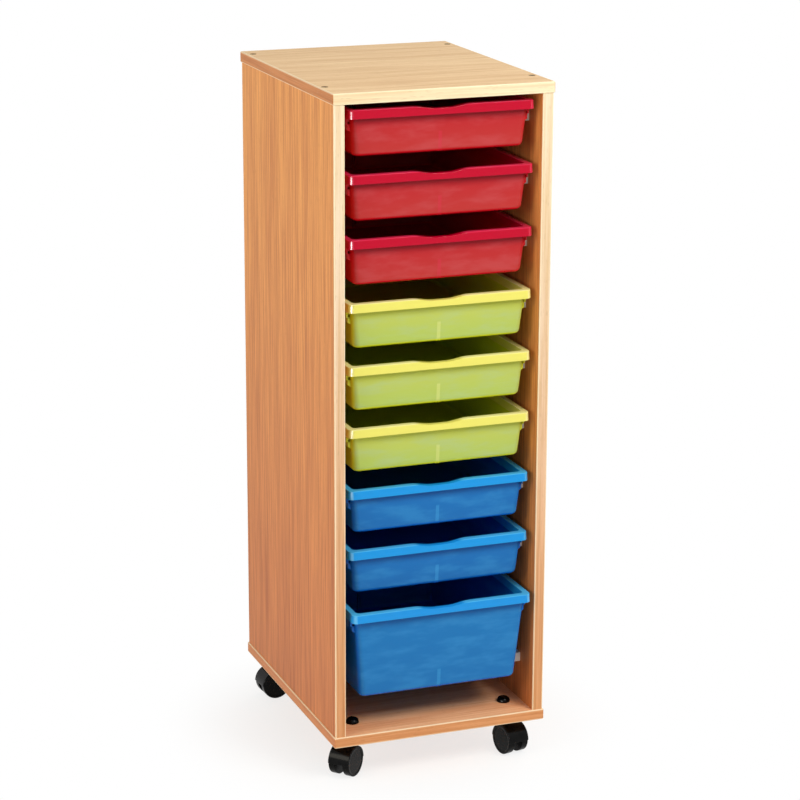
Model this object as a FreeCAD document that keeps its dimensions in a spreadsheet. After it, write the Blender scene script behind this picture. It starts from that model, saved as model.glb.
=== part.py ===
import FreeCAD, Part
import math
import os
import re

import Sketcher
from FreeCAD import Placement, Rotation, Vector

# Classroom tray storage unit: a tall narrow beech-faced cabinet on four swivel castors, with ten
# levels of plastic runners that carry eight shallow trays and one deep tray.
# Millimetres. +Z is up, the open front faces -Y and X is the width. The origin is on the floor,
# under the middle of the unit as it stands with its deep tray a little way out.

doc = FreeCAD.newDocument("TrayUnit")
sheet = doc.addObject("Spreadsheet::Sheet", "Sizes")

# ---------------------------------------------------------------- driving sizes
DRIVING = [
    # carcass
    ("panel_width", 370), ("panel_depth", 470), ("carcass_height", 1073), ("board", 18),
    ("edge_band", 2), ("edge_round", 1.5), ("side_inset", 2),
    ("back_board", 6), ("back_inset", 12), ("groove_depth", 7), ("groove_play", 0.3),
    # dowels and carcass screws
    ("dowel_radius", 4), ("dowel_length", 34), ("dowel_in_board", 12), ("dowel_pitch", 120),
    ("hole_play", 0.15), ("end_play", 0.5),
    ("screw_head_radius", 5.5), ("screw_shank_radius", 3.5), ("screw_length", 50),
    ("screw_sink", 1), ("screw_front", 69), ("screw_rear", 37), ("hex_radius", 2.3), ("hex_depth", 3),
    ("screw_head_rim", 1.5), ("dowel_chamfer", 1),
    # tray levels
    ("level_count", 9), ("first_rim_drop", 11), ("deep_rim_height", 210),
    ("spare_runner_height", 67.4),
    # runners
    ("runner_setback", 57), ("runner_rear_gap", 6), ("runner_height", 15.7), ("runner_wall", 1.5),
    ("runner_nose", 3), ("runner_round", 1.2), ("rail_play", 1), ("tray_float", 0.4),
    ("runner_screw_front", 40), ("runner_screw_radius", 1.8),
    ("runner_screw_head", 3.4), ("runner_screw_length", 12),
    # trays
    ("tray_side_gap", 9), ("tray_rear_gap", 15), ("shallow_height", 75), ("deep_height", 150),
    ("tray_wall", 2), ("lip_drop", 14.5), ("lip_wall", 2), ("lip_radius", 10),
    ("wall_side_inset", 8.5), ("wall_end_inset", 9.5), ("wall_draft", 4.5), ("wall_radius", 9),
    ("rail_setback", 21), ("step_inset", 2.5), ("step_drop", 25), ("shoulder_inset", 5.3),
    ("shoulder_drop", 33), ("shoulder_slope", 4), ("foot_radius", 12),
    ("foot_round", 8), ("scoop_width", 96), ("scoop_depth", 5.5), ("scoop_ramp", 26),
    ("scoop_round", 90),
    ("slot_width", 6), ("slot_rib", 1.5), ("slot_height", 32), ("slot_reach", 3),
    ("tray_setback", 10), ("deep_tray_overhang", 8),
    # castors
    ("castor_height", 65), ("castor_side", 50), ("castor_front", 56), ("wheel_radius", 25),
    ("wheel_width", 12), ("wheel_side_gap", 0.5), ("wheel_edge", 1.5), ("wheel_dish", 0.8),
    ("wheel_skin", 3), ("dish_border", 4.5), ("dish_slope", 1.5),
    ("hood_radius", 26.5), ("hood_wall", 1.2), ("hood_edge", 0.8), ("web_width", 13),
    ("castor_trail", 22),
    ("axle_radius", 3), ("running_play", 0.05), ("seat_play", 0.02), ("axle_boss", 8),
    ("column_radius", 10), ("pin_radius", 4), ("pin_chamfer", 1), ("pin_depth", 29),
    ("flange_radius", 12),
    ("flange_thick", 2.5), ("swivel_gap", 0.4), ("shank_radius", 5), ("shank_grip", 6),
    ("cap_radius", 11), ("cap_height", 8.5), ("cap_dome", 7),
    ("swivel_front_left", 221), ("swivel_front_right", 282),
    ("swivel_rear_left", 184), ("swivel_rear_right", 250),
]
NAMES = [name for name, _ in DRIVING]
for row, (alias, number) in enumerate(DRIVING, start=1):
    sheet.set("A%d" % row, alias)
    sheet.set("B%d" % row, str(number))
    sheet.setAlias("B%d" % row, alias)

# Places that several pieces share, worked out in the sheet from the driving sizes.
WORKED_OUT = [
    ("carcass_y", "deep_tray_overhang / 2"),
    ("inside_top", "castor_height + carcass_height - board"),
    ("inside_bottom", "castor_height + board"),
    ("side_height", "carcass_height - 2 * board"),
    ("side_outer", "panel_width / 2 - side_inset"),
    ("side_inner", "side_outer - board"),
    ("side_middle", "side_outer - board / 2"),
    ("side_depth", "panel_depth - 2 * side_inset"),
    ("core_half_width", "panel_width / 2 - edge_band"),
    ("core_half_depth", "panel_depth / 2 - edge_band"),
    ("side_half_depth", "side_depth / 2 - edge_band"),
    ("groove_front", "panel_depth / 2 - back_inset - back_board - groove_play"),
    ("groove_rear", "panel_depth / 2 - back_inset + groove_play"),
    ("screw_front_y", "screw_front - panel_depth / 2"),
    ("screw_rear_y", "panel_depth / 2 - screw_rear"),
    ("screw_in_side", "screw_length + screw_sink - board"),
    ("castor_axis_x", "panel_width / 2 - castor_side"),
    ("castor_axis_y", "panel_depth / 2 - castor_front"),
    ("first_rim", "inside_top - first_rim_drop"),
    ("level_pitch", "(side_height - first_rim_drop - deep_rim_height) / (level_count - 1)"),
    ("back_space", "back_inset + back_board"),
    ("runner_length", "panel_depth - runner_setback - back_space - runner_rear_gap"),
    ("runner_screw_span", "runner_length - 2 * runner_screw_front"),
    ("tray_width", "2 * (side_inner - tray_side_gap)"),
    ("tray_depth", "panel_depth - tray_setback - back_space - tray_rear_gap"),
    ("runner_reach", "tray_side_gap + shoulder_inset - rail_play"),
    ("runner_top", "step_drop + tray_float"),
    ("runner_bottom", "runner_top + runner_height"),
    ("runner_start", "runner_setback - panel_depth / 2"),
    ("tray_rest_y", "tray_setback + tray_depth / 2 - panel_depth / 2"),
    ("deep_rest_y", "tray_depth / 2 - panel_depth / 2 - deep_tray_overhang"),
    ("wheel_inner", "web_width / 2 + wheel_side_gap"),
    ("wheel_outer", "wheel_inner + wheel_width"),
    ("well_radius", "hood_radius - hood_wall"),
    ("column_top", "castor_height - wheel_radius - flange_thick - swivel_gap"),
]
NAMES += [name for name, _ in WORKED_OUT]
WORD = re.compile(r"\b(" + "|".join(sorted(NAMES, key=len, reverse=True)) + r")\b")
for row, (alias, formula) in enumerate(WORKED_OUT, start=len(DRIVING) + 1):
    sheet.set("A%d" % row, alias)
    sheet.set("B%d" % row, "=" + formula)
    sheet.setAlias("B%d" % row, alias)
doc.recompute()


# ---------------------------------------------------------------- helpers
def size(alias):
    """The value of one sheet cell."""
    return float(sheet.get(alias))


def bound(text):
    """A formula in the sheet's words, as an expression that other objects can use."""
    return WORD.sub(r"Sizes.\1", text)


def value(text):
    """The number that a formula in the sheet's words gives now."""
    return float(sheet.evalExpression(bound(text)))


def drive(target, prop, text):
    """Ties one property to a formula in the sheet's words."""
    target.setExpression(prop, bound(text))


def new_body(name):
    return doc.addObject("PartDesign::Body", name)


def sketch_on(body, plane, name, lift=None):
    """A sketch on one of the body's own origin planes, lifted along its normal."""
    sketch = body.newObject("Sketcher::SketchObject", name)
    support = [part for part in body.Origin.OriginFeatures if part.Role == plane][0]
    sketch.AttachmentSupport = [(support, "")]
    sketch.MapMode = "FlatFace"
    if lift:
        drive(sketch, "AttachmentOffset.Base.z", lift)
    return sketch


def pin_point(sketch, item, vertex, x_text, y_text):
    """Holds one vertex at a place given by two formulas."""
    for kind, text, axis in (("DistanceX", x_text, -2), ("DistanceY", y_text, -1)):
        if text == "0":
            sketch.addConstraint(Sketcher.Constraint("PointOnObject", item, vertex, axis))
        else:
            rule = Sketcher.Constraint(kind, -1, 1, item, vertex, value(text))
            index = sketch.addConstraint(rule)
            drive(sketch, "Constraints[%d]" % index, text)


def polygon(sketch, corners):
    """A closed outline of straight lines, each corner held by its two formulas."""
    places = [Vector(value(x_text), value(y_text), 0) for x_text, y_text in corners]
    first = sketch.GeometryCount
    count = len(corners)
    for index in range(count):
        sketch.addGeometry(Part.LineSegment(places[index], places[(index + 1) % count]))
    for index in range(count):
        following = first + (index + 1) % count
        sketch.addConstraint(Sketcher.Constraint("Coincident", first + index, 2, following, 1))
    for index, (x_text, y_text) in enumerate(corners):
        pin_point(sketch, first + index, 1, x_text, y_text)


def rectangle(sketch, x_low, x_high, y_low, y_high):
    polygon(sketch, [(x_low, y_low), (x_high, y_low), (x_high, y_high), (x_low, y_high)])


def circle(sketch, x_text, y_text, radius):
    place = Vector(value(x_text), value(y_text), 0)
    item = sketch.addGeometry(Part.Circle(place, Vector(0, 0, 1), value(radius)))
    pin_point(sketch, item, 3, x_text, y_text)
    index = sketch.addConstraint(Sketcher.Constraint("Radius", item, value(radius)))
    drive(sketch, "Constraints[%d]" % index, radius)


def rounded_rectangle(sketch, half_width, half_depth, radius):
    """A rectangle about the sketch's origin, with an arc at each corner."""
    arcs = []
    signs = [(1, 1), (-1, 1), (-1, -1), (1, -1)]
    reach = value(radius)
    for turn, (x_sign, y_sign) in enumerate(signs):
        centre = Vector(x_sign * (value(half_width) - reach), y_sign * (value(half_depth) - reach), 0)
        start = turn * math.pi / 2
        arc = Part.ArcOfCircle(Part.Circle(centre, Vector(0, 0, 1), reach), start, start + math.pi / 2)
        arcs.append(sketch.addGeometry(arc))
    lines = []
    for turn in range(4):
        one = sketch.Geometry[arcs[turn]].EndPoint
        two = sketch.Geometry[arcs[(turn + 1) % 4]].StartPoint
        lines.append(sketch.addGeometry(Part.LineSegment(one, two)))
    for turn in range(4):
        sketch.addConstraint(Sketcher.Constraint("Tangent", arcs[turn], 2, lines[turn], 1))
        sketch.addConstraint(Sketcher.Constraint("Tangent", lines[turn], 2, arcs[(turn + 1) % 4], 1))
    for turn, (x_sign, y_sign) in enumerate(signs):
        x_text = "%d * (%s - (%s))" % (x_sign, half_width, radius)
        y_text = "%d * (%s - (%s))" % (y_sign, half_depth, radius)
        pin_point(sketch, arcs[turn], 3, x_text, y_text)
        index = sketch.addConstraint(Sketcher.Constraint("Radius", arcs[turn], reach))
        drive(sketch, "Constraints[%d]" % index, radius)


def extrude(body, kind, sketch, name, length, backwards=False, both_ways=False):
    """A Pad or Pocket of one sketch; a cut that removes nothing is refused."""
    before = body.Shape.Volume if body.Tip else 0
    feature = body.newObject("PartDesign::" + kind, name)
    feature.Profile = sketch
    if length == "through":
        feature.Type = "ThroughAll"
    else:
        feature.Length = value(length)
        drive(feature, "Length", length)
    feature.Reversed = backwards
    feature.Midplane = both_ways
    doc.recompute()
    check_change(body, feature, before, kind == "Pocket")
    return feature


def check_change(body, feature, before, is_cut):
    """Stops the build when a feature failed, or moved the volume the wrong way."""
    if "Invalid" in feature.State or "Error" in feature.State:
        raise RuntimeError("%s: %s failed" % (body.Name, feature.Name))
    change = body.Shape.Volume - before
    if (change > -0.01) if is_cut else (change < 0.01):
        raise RuntimeError("%s: %s changed nothing" % (body.Name, feature.Name))


def pad(body, sketch, name, length, **options):
    return extrude(body, "Pad", sketch, name, length, **options)


def pocket(body, sketch, name, length, **options):
    return extrude(body, "Pocket", sketch, name, length, **options)


def loft(body, kind, sketches, name):
    """A ruled loft through several sketches, added or cut."""
    before = body.Shape.Volume if body.Tip else 0
    feature = body.newObject("PartDesign::" + kind, name)
    feature.Profile = sketches[0]
    feature.Sections = sketches[1:]
    feature.Ruled = True
    doc.recompute()
    check_change(body, feature, before, kind == "SubtractiveLoft")
    return feature


def revolve(body, sketch, name, axis):
    """A full turn of one sketch about its own horizontal or vertical axis."""
    feature = body.newObject("PartDesign::Revolution", name)
    feature.Profile = sketch
    feature.ReferenceAxis = (sketch, [axis])
    feature.Angle = 360
    doc.recompute()
    check_change(body, feature, 0, False)
    return feature


def edges_where(body, test):
    """Names of the edges whose middle point passes a test."""
    names = []
    for number, edge in enumerate(body.Shape.Edges, start=1):
        middle = edge.valueAt((edge.FirstParameter + edge.LastParameter) / 2)
        if test(middle):
            names.append("Edge%d" % number)
    return names


def round_edges(body, name, test, radius):
    """A Fillet on the edges that pass a test."""
    before = body.Shape.Volume
    rounded = (body.Tip, edges_where(body, test))
    feature = body.newObject("PartDesign::Fillet", name)
    feature.Base = rounded
    feature.Radius = value(radius)
    drive(feature, "Radius", radius)
    doc.recompute()
    if abs(body.Shape.Volume - before) < 0.01 or not body.Shape.isValid():
        raise RuntimeError("%s: %s rounded nothing" % (body.Name, name))
    return feature


def repeat_along(body, feature, name, plane_axis, length, count, backwards=False):
    """A row of copies of one feature along a body axis."""
    before = body.Shape.Volume
    row_of = body.newObject("PartDesign::LinearPattern", name)
    axis = [part for part in body.Origin.OriginFeatures if part.Role == plane_axis][0]
    row_of.Originals = [feature]
    row_of.Direction = (axis, [""])
    row_of.Reversed = backwards
    drive(row_of, "Length", length)
    drive(row_of, "Occurrences", count)
    body.Tip = row_of
    doc.recompute()
    check_change(body, row_of, before, True)
    return row_of


NODES = []


def node(label, pieces, x_text="0", y_text="0", z_text="0", turn=None):
    """One named sub-part: its pieces, moved to their place in the unit."""
    group = doc.addObject("Part::Compound", label)
    group.Label = label
    group.Links = pieces
    for axis, text in (("x", x_text), ("y", y_text), ("z", z_text)):
        if text != "0":
            drive(group, "Placement.Base." + axis, text)
    if turn:
        group.Placement = Placement(Vector(0, 0, 0), Rotation(Vector(0, 0, 1), 1))
        drive(group, "Placement.Rotation.Angle", "%s * 1 deg" % turn)
    NODES.append(group)
    return group


# ---------------------------------------------------------------- carcass boards
def joint_rows(sketch, radius, places):
    """Circles over both side boards, at the given distances along the depth."""
    for x_text in ("-side_middle", "side_middle"):
        for y_text in places:
            circle(sketch, x_text, y_text, radius)


DOWEL_PLACES = ("-dowel_pitch", "0", "dowel_pitch")
SCREW_PLACES = ("screw_front_y", "screw_rear_y")


def flat_board(name, outward):
    """Top or base board. Its inner face is at z = 0 and it is built outwards, up or down."""
    up = outward > 0
    body = new_body(name)
    outline = sketch_on(body, "XY_Plane", name + "_outline")
    rectangle(outline, "-core_half_width", "core_half_width", "-core_half_depth", "core_half_depth")
    pad(body, outline, name + "_board", "board", backwards=not up)
    groove = sketch_on(body, "XY_Plane", name + "_groove_outline")
    rectangle(groove, "-side_inner - groove_depth", "side_inner + groove_depth",
              "groove_front", "groove_rear")
    pocket(body, groove, name + "_groove", "groove_depth", backwards=up)
    dowels = sketch_on(body, "XY_Plane", name + "_dowel_centres")
    joint_rows(dowels, "dowel_radius + hole_play", DOWEL_PLACES)
    pocket(body, dowels, name + "_dowel_holes", "dowel_in_board + end_play", backwards=up)
    shanks = sketch_on(body, "XY_Plane", name + "_screw_centres")
    joint_rows(shanks, "screw_shank_radius + hole_play", SCREW_PLACES)
    pocket(body, shanks, name + "_screw_holes", "board", backwards=up)
    heads = sketch_on(body, "XY_Plane", name + "_head_centres", "board" if up else "-board")
    joint_rows(heads, "screw_head_radius + hole_play", SCREW_PLACES)
    pocket(body, heads, name + "_head_holes", "screw_sink + screw_head_radius", backwards=not up)
    return body


def castor_holes(body):
    """The four through holes of the base board for the castor shanks."""
    centres = sketch_on(body, "XY_Plane", "castor_hole_centres")
    for x_text in ("-castor_axis_x", "castor_axis_x"):
        for y_text in ("-castor_axis_y", "castor_axis_y"):
            circle(centres, x_text, y_text, "shank_radius + hole_play")
    pocket(body, centres, "castor_hole_bores", "board")


def edge_frame(name):
    """The plastic band round a flat board, one closed frame with rounded outer edges."""
    body = new_body(name)
    outline = sketch_on(body, "XY_Plane", name + "_outline")
    rounded_rectangle(outline, "panel_width / 2", "panel_depth / 2", "edge_band")
    rectangle(outline, "-core_half_width", "core_half_width", "-core_half_depth", "core_half_depth")
    pad(body, outline, name + "_band", "board")
    outer_x = value("panel_width / 2 - edge_band * 0.7")
    outer_y = value("panel_depth / 2 - edge_band * 0.7")

    def on_outer_rim(point):
        at_face = min(abs(point.z), abs(point.z - size("board"))) < 0.01
        return at_face and (abs(point.x) > outer_x or abs(point.y) > outer_y)

    round_edges(body, name + "_round", on_outer_rim, "edge_round")
    return body


def pilot_pair(body, name, height, right):
    """The two holes of a side board that take the screws of one runner."""
    centres = sketch_on(body, "YZ_Plane", name + "_centres")
    for y_text in ("runner_start + runner_screw_front",
                   "runner_start + runner_screw_front + runner_screw_span"):
        circle(centres, y_text, height, "runner_screw_radius + hole_play")
    return pocket(body, centres, name, "runner_screw_length - runner_wall + end_play", backwards=right)


def side_board(name, outward):
    """Left or right side board. Its inner face is at x = 0 and its foot at z = 0."""
    right = outward > 0
    body = new_body(name)
    outline = sketch_on(body, "YZ_Plane", name + "_outline")
    rectangle(outline, "-side_half_depth", "side_half_depth", "0", "side_height")
    pad(body, outline, name + "_board", "board", backwards=not right)
    groove = sketch_on(body, "YZ_Plane", name + "_groove_outline")
    rectangle(groove, "groove_front", "groove_rear", "0", "side_height")
    pocket(body, groove, name + "_groove", "groove_depth", backwards=right)
    pilot_pair(body, name + "_spare_pilots", "spare_runner_height + runner_height / 2", right)
    top_pilot = "side_height - first_rim_drop - runner_top - runner_height / 2"
    first = pilot_pair(body, name + "_pilots", top_pilot, right)
    repeat_along(body, first, name + "_pilot_rows", "Z_Axis", "level_pitch * (level_count - 1)",
                 "level_count", backwards=True)
    middle = "board / 2" if right else "-board / 2"
    for end, lift, upwards in (("foot", None, True), ("head", "side_height", False)):
        dowels = sketch_on(body, "XY_Plane", "%s_%s_dowel_centres" % (name, end), lift)
        for y_text in DOWEL_PLACES:
            circle(dowels, middle, y_text, "dowel_radius + hole_play")
        pocket(body, dowels, "%s_%s_dowels" % (name, end),
               "dowel_length - dowel_in_board + end_play", backwards=upwards)
        screws = sketch_on(body, "XY_Plane", "%s_%s_screw_centres" % (name, end), lift)
        for y_text in SCREW_PLACES:
            circle(screws, middle, y_text, "screw_shank_radius + hole_play")
        pocket(body, screws, "%s_%s_screws" % (name, end), "screw_in_side + end_play",
               backwards=upwards)
    return body


def edge_strip(name, facing):
    """The band on one upright edge of a side board, rounded on its two outer corners."""
    body = new_body(name)
    outline = sketch_on(body, "XY_Plane", name + "_outline")
    near = "side_half_depth" if facing > 0 else "-side_half_depth"
    far = "side_half_depth + edge_band" if facing > 0 else "-side_half_depth - edge_band"
    rectangle(outline, "-board / 2", "board / 2", near, far)
    pad(body, outline, name + "_band", "side_height")
    face = value("side_half_depth + edge_band") * facing

    def on_outer_corner(point):
        along = abs(point.z - size("side_height") / 2) < 1
        return along and abs(point.y - face) < 0.01

    round_edges(body, name + "_round", on_outer_corner, "edge_round")
    return body


def back_sheet():
    """The thin back board, held on all four edges in the grooves."""
    sheet_box = doc.addObject("Part::Box", "back_sheet")
    drive(sheet_box, "Length", "2 * (side_inner + groove_depth - groove_play)")
    drive(sheet_box, "Width", "back_board")
    drive(sheet_box, "Height", "side_height + 2 * (groove_depth - groove_play)")
    drive(sheet_box, "Placement.Base.x", "groove_play - side_inner - groove_depth")
    drive(sheet_box, "Placement.Base.y", "groove_front + groove_play")
    drive(sheet_box, "Placement.Base.z", "groove_play - groove_depth")
    return sheet_box


# ---------------------------------------------------------------- fasteners
def turned(name, corners):
    """A turned piece: an outline of (radius, height) corners, spun about the upright axis."""
    body = new_body(name)
    outline = sketch_on(body, "XZ_Plane", name + "_outline")
    polygon(outline, corners)
    revolve(body, outline, name + "_turned", "V_Axis")
    return body


def carcass_screw():
    """Countersunk connector screw: its head is at z = 0 and its tip points down."""
    body = turned("carcass_screw", [
        ("0", "0"), ("screw_head_radius", "0"), ("screw_head_radius", "-screw_head_rim"),
        ("screw_shank_radius", "screw_shank_radius - screw_head_radius - screw_head_rim"),
        ("screw_shank_radius", "screw_shank_radius - screw_length"), ("0", "-screw_length")])
    socket = sketch_on(body, "XY_Plane", "carcass_screw_socket_outline")
    corners = []
    for turn in range(6):
        corners.append(("hex_radius * cos(%d deg)" % (60 * turn), "hex_radius * sin(%d deg)" % (60 * turn)))
    corners[0] = ("hex_radius", "0")
    corners[3] = ("-hex_radius", "0")
    polygon(socket, corners)
    pocket(body, socket, "carcass_screw_socket", "hex_depth")
    return body


def runner_screw():
    """Small countersunk screw: its head is at z = 0 and its tip points down."""
    return turned("runner_screw", [
        ("0", "0"), ("runner_screw_head", "0"), ("runner_screw_radius", "-runner_wall"),
        ("runner_screw_radius", "runner_screw_radius - runner_screw_length"),
        ("0", "-runner_screw_length")])


def wooden_dowel():
    return turned("wooden_dowel", [
        ("0", "0"), ("dowel_radius - dowel_chamfer", "0"), ("dowel_radius", "dowel_chamfer"),
        ("dowel_radius", "dowel_length - dowel_chamfer"),
        ("dowel_radius - dowel_chamfer", "dowel_length"), ("0", "dowel_length")])


def copies(label, master, places):
    """A group of like fasteners: the master's shape at each place."""
    group = doc.addObject("Part::Feature", label)
    group.Label = label
    solids = []
    for place in places:
        solid = master.Shape.copy()
        solid.Placement = place.multiply(solid.Placement)
        solids.append(solid)
    group.Shape = Part.makeCompound(solids)
    group.Placement = Placement(Vector(0, size("carcass_y"), 0), Rotation())
    NODES.append(group)
    return group


def side_places(turn, z_level, depths):
    places = []
    for x_place in (-size("side_middle"), size("side_middle")):
        for y_place in depths:
            places.append(Placement(Vector(x_place, y_place, z_level), turn))
    return places


def carcass_fasteners():
    """Screws through the top and base into the sides, and the dowels beside them."""
    upright = Rotation()
    upside_down = Rotation(Vector(1, 0, 0), 180)
    screw = carcass_screw()
    depths = (size("screw_front_y"), size("screw_rear_y"))
    top_face = size("castor_height") + size("carcass_height")
    copies("top_screws", screw, side_places(upright, top_face - size("screw_sink"), depths))
    copies("base_screws", screw,
           side_places(upside_down, size("castor_height") + size("screw_sink"), depths))
    pitch = size("dowel_pitch")
    rows = (-pitch, 0, pitch)
    low = size("inside_bottom") - size("dowel_in_board")
    high = size("inside_top") - size("dowel_length") + size("dowel_in_board")
    places = side_places(upright, low, rows) + side_places(upright, high, rows)
    copies("dowels", wooden_dowel(), places)


# ---------------------------------------------------------------- runners
def runner(name, hand):
    """
    One moulded runner. The rim line of its tray is z = 0, the side board's face is x = 0, and it
    reaches towards the tray, along x times hand. It is a box section, closed by a nose in front
    and open behind, and the step of the tray's side rail slides on its upper face.
    """
    body = new_body(name)

    def across(distance):
        return "%d * (%s)" % (hand, distance)

    profile = sketch_on(body, "XZ_Plane", name + "_profile")
    rectangle(profile, "0", across("runner_reach"), "-runner_bottom", "-runner_top")
    pad(body, profile, name + "_section", "runner_length", backwards=True)

    def on_nose_edge(point):
        return abs(point.y) < 0.01 and abs(point.x) > 0.01

    round_edges(body, name + "_nose_round", on_nose_edge, "runner_round")
    hollow = sketch_on(body, "XZ_Plane", name + "_hollow_outline", "-runner_nose")
    rectangle(hollow, across("runner_wall"), across("runner_reach - runner_wall"),
              "runner_wall - runner_bottom", "-runner_top - runner_wall")
    pocket(body, hollow, name + "_hollow", "runner_length")
    screws = sketch_on(body, "YZ_Plane", name + "_screw_centres")
    access = sketch_on(body, "YZ_Plane", name + "_access_centres", across("runner_reach"))
    height = "-runner_top - runner_height / 2"
    for y_text in ("runner_screw_front", "runner_screw_front + runner_screw_span"):
        circle(screws, y_text, height, "runner_screw_head + hole_play")
        circle(access, y_text, height, "runner_screw_head + hole_play")
    pocket(body, screws, name + "_screw_holes", "runner_wall", backwards=hand > 0)
    pocket(body, access, name + "_access_holes", "runner_wall", backwards=hand < 0)
    return body


def all_runners():
    """A left and a right runner at each tray and at the spare level, and their screws."""
    left = runner("left_runner", 1)
    right = runner("right_runner", -1)
    drive(left, "Placement.Base.x", "-side_inner")
    drive(right, "Placement.Base.x", "side_inner")
    places = []
    to_left = Rotation(Vector(0, 1, 0), 90)
    to_right = Rotation(Vector(0, 1, 0), -90)
    head_x = size("side_inner") - size("runner_wall")
    start = size("runner_start") + size("runner_screw_front")
    rims = ["first_rim - level_pitch * %d" % level for level in range(int(size("level_count")))]
    rims.append("inside_bottom + spare_runner_height + runner_bottom")
    for number, rim in enumerate(rims, start=1):
        node("tray_runners_%02d" % number, [left, right],
             y_text="carcass_y + runner_start", z_text=rim)
        height = value(rim) - value("runner_top + runner_height / 2")
        for y_place in (start, start + size("runner_screw_span")):
            places.append(Placement(Vector(-head_x, y_place, height), to_left))
            places.append(Placement(Vector(head_x, y_place, height), to_right))
    copies("runner_screws", runner_screw(), places)


# ---------------------------------------------------------------- trays
def tray_section(body, name, side_inset, end_inset, radius, drop):
    """One level of a tray wall, as a rounded rectangle at a depth below the rim."""
    sketch = sketch_on(body, "XY_Plane", name, "-(%s)" % drop if drop != "0" else None)
    rounded_rectangle(sketch, "(tray_width / 2 - (%s))" % side_inset,
                      "(tray_depth / 2 - (%s))" % end_inset, radius)
    return sketch


def scoop_outline(sketch, top, lid):
    """The shallow dip of the finger scoop, with sloping ends, closed by a straight lid."""
    polygon(sketch, [
        ("-scoop_width / 2", top), ("scoop_ramp - scoop_width / 2", top + " - scoop_depth"),
        ("scoop_width / 2 - scoop_ramp", top + " - scoop_depth"), ("scoop_width / 2", top),
        ("scoop_width / 2", lid), ("-scoop_width / 2", lid)])


def side_rails(body, name):
    """Stepped rails under the lip, on the tray's left and right only, as one block across it."""
    profile = sketch_on(body, "XZ_Plane", name + "_rail_outline")
    steps = [
        ("step_inset", "tray_wall"), ("step_inset", "step_drop"), ("shoulder_inset", "step_drop"),
        ("shoulder_inset", "shoulder_drop"),
        ("wall_side_inset + tray_wall", "shoulder_drop + shoulder_slope")]
    corners = [("tray_width / 2 - (%s)" % inset, "-(%s)" % drop) for inset, drop in steps]
    corners += [("%s - tray_width / 2" % inset, "-(%s)" % drop) for inset, drop in reversed(steps)]
    polygon(profile, corners)
    pad(body, profile, name + "_rails", "tray_depth - 2 * rail_setback", both_ways=True)


def tray(name, height):
    """
    One moulded tray. The rim's upper face is z = 0 and the tray is centred on x and y. A hollow lip
    runs round the rim, with a stepped rail below it on each side, and a drafted wall goes down to
    the rounded foot.
    """
    body = new_body(name)
    lip = tray_section(body, name + "_lip_outline", "0", "0", "lip_radius", "0")
    pad(body, lip, name + "_lip", "lip_drop", backwards=True)
    spread = "(%s - lip_drop) * tan(wall_draft * 1 deg)" % height
    side_foot = "wall_side_inset + " + spread
    end_foot = "wall_end_inset + " + spread
    outside = [
        tray_section(body, name + "_wall_head", "wall_side_inset", "wall_end_inset", "wall_radius",
                     "lip_drop"),
        tray_section(body, name + "_wall_foot", side_foot, end_foot, "foot_radius", height)]
    loft(body, "AdditiveLoft", outside, name + "_walls")
    side_rails(body, name)
    inner_radius = "wall_radius - tray_wall"
    inner_side = "wall_side_inset + tray_wall"
    inner_end = "wall_end_inset + tray_wall"
    inside = [
        tray_section(body, name + "_mouth", inner_side, inner_end, inner_radius, "0"),
        tray_section(body, name + "_hollow_head", inner_side, inner_end, inner_radius, "lip_drop"),
        tray_section(body, name + "_hollow_foot", side_foot + " + tray_wall", end_foot + " + tray_wall",
                     "foot_radius - tray_wall", "%s - tray_wall" % height)]
    loft(body, "SubtractiveLoft", inside, name + "_hollow")

    def on_hollow_foot(point):
        return abs(point.z + value(height) - size("tray_wall")) < 0.01

    def on_foot(point):
        return abs(point.z + value(height)) < 0.01

    round_edges(body, name + "_hollow_round", on_hollow_foot, "foot_round - tray_wall")
    round_edges(body, name + "_foot_round", on_foot, "foot_round")
    channel = sketch_on(body, "XY_Plane", name + "_channel_outline", "-lip_drop")
    rounded_rectangle(channel, "(tray_width / 2 - lip_wall)", "(tray_depth / 2 - lip_wall)",
                      "lip_radius - lip_wall")
    rounded_rectangle(channel, "(tray_width / 2 - wall_side_inset)", "(tray_depth / 2 - wall_end_inset)",
                      "wall_radius")
    pocket(body, channel, name + "_channel", "lip_drop - tray_wall", backwards=True)
    finger_scoop(body, name)
    divider_slots(body, name, height, end_foot)
    return body


def finger_scoop(body, name):
    """A dip in the middle of the front rim, whose floor is as thick as the wall."""
    floor = sketch_on(body, "XZ_Plane", name + "_scoop_floor_outline", "tray_depth / 2 - lip_wall / 2")
    scoop_outline(floor, "-tray_wall", "-tray_wall / 2")
    pad(body, floor, name + "_scoop_floor", "wall_end_inset + tray_wall / 2 - lip_wall / 2", backwards=True)
    dip = sketch_on(body, "XZ_Plane", name + "_scoop_outline", "tray_depth / 2 + tray_wall")
    scoop_outline(dip, "0", "tray_wall")
    pocket(body, dip, name + "_scoop", "wall_end_inset + 3 * tray_wall")

    def on_scoop_bend(point):
        at_top = abs(point.z) < 0.01 and abs(abs(point.x) - size("scoop_width") / 2) < 0.01
        foot_x = size("scoop_width") / 2 - size("scoop_ramp")
        at_foot = abs(point.z + size("scoop_depth")) < 0.01 and abs(abs(point.x) - foot_x) < 0.01
        return point.y < 0 and (at_top or at_foot)

    round_edges(body, name + "_scoop_bends", on_scoop_bend, "scoop_round")


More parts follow.
